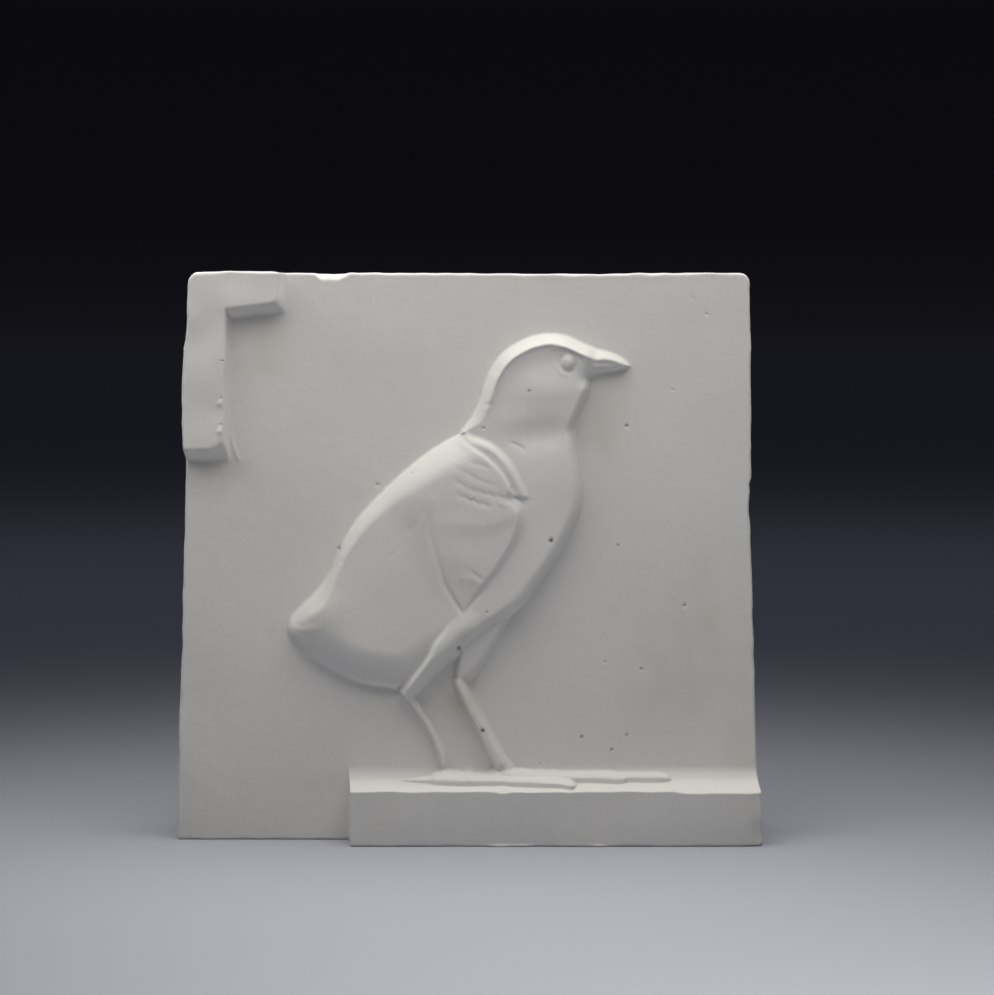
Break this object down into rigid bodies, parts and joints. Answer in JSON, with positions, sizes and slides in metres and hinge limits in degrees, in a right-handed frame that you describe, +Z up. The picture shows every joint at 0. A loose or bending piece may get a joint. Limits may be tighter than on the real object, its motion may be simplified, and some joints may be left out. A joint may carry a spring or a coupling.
{
  "type": "relief plaque",
  "caption": "Square cast plaster plaque with a quail chick in raised relief on a projecting ledge and a raised border round its upper left corner",
  "frame": {"origin": "middle of the underside, on the surface that the plaque stands on", "axes": "+Z up the plaque, +X to the right as seen from the front, +Y out of the back; the relief faces -Y"},
  "size_m": [0.1526, 0.03, 0.1484],
  "materials": {
    "plaster": "matte cast plaster, off-white, with small air bubbles and faint stains"
  },
  "bodies": {
    "root": {"plaster_plaque": "plaster"}
  },
  "joints": []
}
